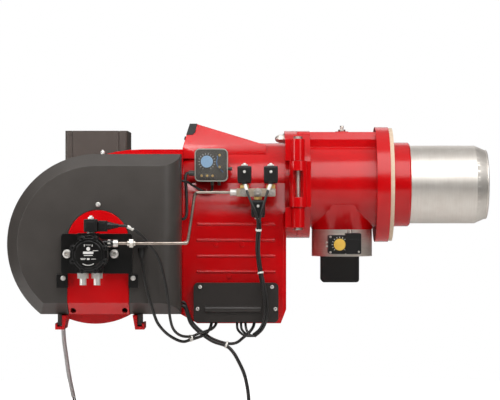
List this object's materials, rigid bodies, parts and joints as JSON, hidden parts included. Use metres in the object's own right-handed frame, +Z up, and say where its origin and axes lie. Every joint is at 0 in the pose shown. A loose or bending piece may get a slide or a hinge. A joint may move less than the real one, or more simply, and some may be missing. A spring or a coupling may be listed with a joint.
{
  "type": "industrial burner",
  "caption": "Dual fuel monoblock burner: flanged head with flame tube and gas valve, hinged red housing with sound hood, oil pump, motor, valves, switches and leads.",
  "frame": {"origin": "centre of the flange gasket's front face, on the burner's axis", "axes": "+X along the flame tube into the boiler, +Z up, -Y the oil pump's side"},
  "size_m": [0.967, 0.658, 0.5769],
  "materials": {
    "red_paint": "gloss cast aluminium, red enamel",
    "flame_steel": "satin stainless steel",
    "zinc_steel": "zinc plated steel",
    "die_cast": "turned die casting",
    "hood_coat": "dark grey satin coat",
    "black_coat": "black coat",
    "black_plastic": "moulded black plastic",
    "brass_part": "bright brass",
    "gasket_fibre": "pressed fibre",
    "ceramic_white": "glazed ceramic",
    "yellow_dial": "yellow plastic",
    "blue_dial": "pale blue plastic",
    "switch_grey": "grey plastic",
    "clear_cover": "clear plastic",
    "blue_plastic": "moulded plastic",
    "tie_white": "white nylon",
    "cable_black": "black cable sheath",
    "cable_grey": "grey cable sheath"
  },
  "bodies": {
    "head": {"head_casting": "red_paint", "flange_gasket": "gasket_fibre", "spigot_ring": "red_paint", "flame_tube": "flame_steel", "gas_ring": "flame_steel", "diffuser_plate": "flame_steel", "nozzle_rod": "zinc_steel", "ignition_electrodes": "ceramic_white", "split_seal": "gasket_fibre", "test_nipples": "zinc_steel", "gas_valve_body": "die_cast", "gas_servomotor": "black_plastic", "gas_pressure_switch": "black_plastic"},
    "gas_valve": {"gas_butterfly": "zinc_steel"},
    "gas_dial": {"gas_switch_dial": "yellow_dial"},
    "housing": {"burner_housing": "red_paint", "hinge_pin": "zinc_steel", "closing_screws": "zinc_steel", "viewing_hood": "red_paint", "display_cap": "black_plastic", "sound_hood": "hood_coat", "hood_feet": "hood_coat", "hood_brackets": "black_coat", "hood_screws": "zinc_steel", "pump_carrier": "red_paint", "air_servomotor": "black_plastic", "motor_plate": "red_paint", "motor_frame": "hood_coat", "motor_cowl": "hood_coat", "motor_control_box": "hood_coat", "pump_plate": "black_coat", "pump_body": "black_coat", "pump_cover": "black_coat", "pump_bolts": "zinc_steel", "hose_fittings": "zinc_steel", "pump_solenoid": "black_plastic", "pump_plug": "black_plastic", "oil_pipe": "zinc_steel", "pipe_nuts": "zinc_steel", "valve_block": "zinc_steel", "valve_stems": "brass_part", "solenoid_coils": "black_plastic", "flame_sensor": "black_plastic", "air_switch_body": "switch_grey", "air_switch_cover": "clear_cover", "cable_cover": "hood_coat", "cable_ties": "tie_white", "held_leads": "cable_black", "switch_hose": "cable_black", "supply_lead_black": "cable_black", "supply_lead_grey": "cable_grey"},
    "rotor": {"fan_wheel": "flame_steel", "motor_shaft": "zinc_steel", "pump_coupling": "blue_plastic", "pump_rotor": "zinc_steel"},
    "shutter": {"air_shutter": "die_cast"},
    "air_dial": {"air_switch_dial": "blue_dial"},
    "button_1": {"display_button_1": "black_plastic"},
    "button_2": {"display_button_2": "black_plastic"},
    "button_3": {"display_button_3": "black_plastic"}
  },
  "joints": [
    {"name": "housing_swing", "type": "hinge", "parent": "head", "child": "housing", "pos_m": [-0.195, -0.135, 0], "axis": [0, 0, 1], "range_deg": [0, 90]},
    {"name": "rotor_spin", "type": "hinge", "parent": "housing", "child": "rotor", "pos_m": [-0.602, 0, -0.137], "axis": [0, 1, 0], "continuous": true},
    {"name": "gas_valve_turn", "type": "hinge", "parent": "head", "child": "gas_valve", "pos_m": [-0.102, 0, -0.1195], "axis": [0, 1, 0], "range_deg": [0, 90]},
    {"name": "air_shutter_turn", "type": "hinge", "parent": "housing", "child": "shutter", "pos_m": [-0.602, 0, -0.137], "axis": [0, 1, 0], "range_deg": [0, 30]},
    {"name": "gas_dial_turn", "type": "hinge", "parent": "head", "child": "gas_dial", "pos_m": [-0.111, -0.116, -0.1215], "axis": [0, 1, 0], "range_deg": [0, 270]},
    {"name": "air_dial_turn", "type": "hinge", "parent": "housing", "child": "air_dial", "pos_m": [-0.3776, -0.112, 0.045], "axis": [0, 1, 0], "range_deg": [0, 270]},
    {"name": "button_1_push", "type": "slide", "parent": "housing", "child": "button_1", "axis": [0.9615, 0, -0.2747], "range_m": [0, 0.002], "stiffness_N_per_m": 400, "springref_m": -0.001},
    {"name": "button_2_push", "type": "slide", "parent": "housing", "child": "button_2", "axis": [0.9615, 0, -0.2747], "range_m": [0, 0.002], "stiffness_N_per_m": 400, "springref_m": -0.001},
    {"name": "button_3_push", "type": "slide", "parent": "housing", "child": "button_3", "axis": [0.9615, 0, -0.2747], "range_m": [0, 0.002], "stiffness_N_per_m": 400, "springref_m": -0.001}
  ]
}
